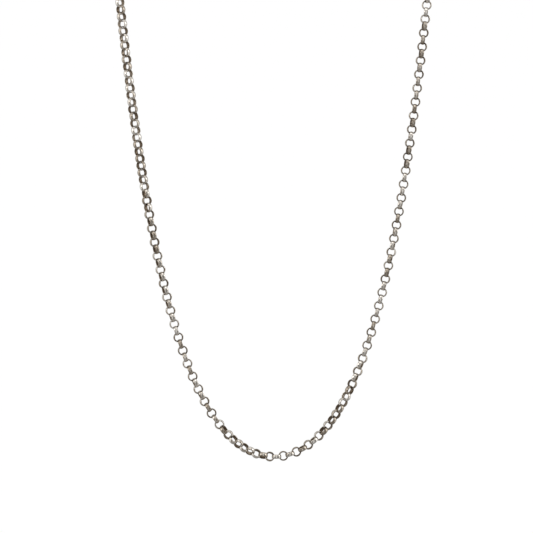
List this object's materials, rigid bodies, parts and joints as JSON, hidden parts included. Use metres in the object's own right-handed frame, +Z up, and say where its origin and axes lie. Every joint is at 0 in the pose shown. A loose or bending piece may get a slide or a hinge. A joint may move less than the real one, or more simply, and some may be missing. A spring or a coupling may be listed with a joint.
{
  "type": "rolo chain necklace",
  "caption": "Necklace of round interlocking rolo links in darkened silver, hanging in a long loop from the neck and closed by a bolt ring at the nape.",
  "frame": {"origin": "middle of the nape, on the line of the chain, where the loop hangs from the back of the neck", "axes": "+Z up, -Y towards the front where the long loop hangs, +X to the viewer's right seen from the front"},
  "size_m": [0.1312, 0.0656, 0.243],
  "materials": {
    "chain_silver": "polished sterling silver, darkened by oxidising, darker inside the links",
    "clasp_silver": "polished sterling silver, lightly darkened"
  },
  "bodies": {
    "root": {"chain_left": "chain_silver", "chain_right": "chain_silver", "clasp": "clasp_silver", "clasp_ring": "clasp_silver", "end_ring": "clasp_silver"}
  },
  "joints": []
}
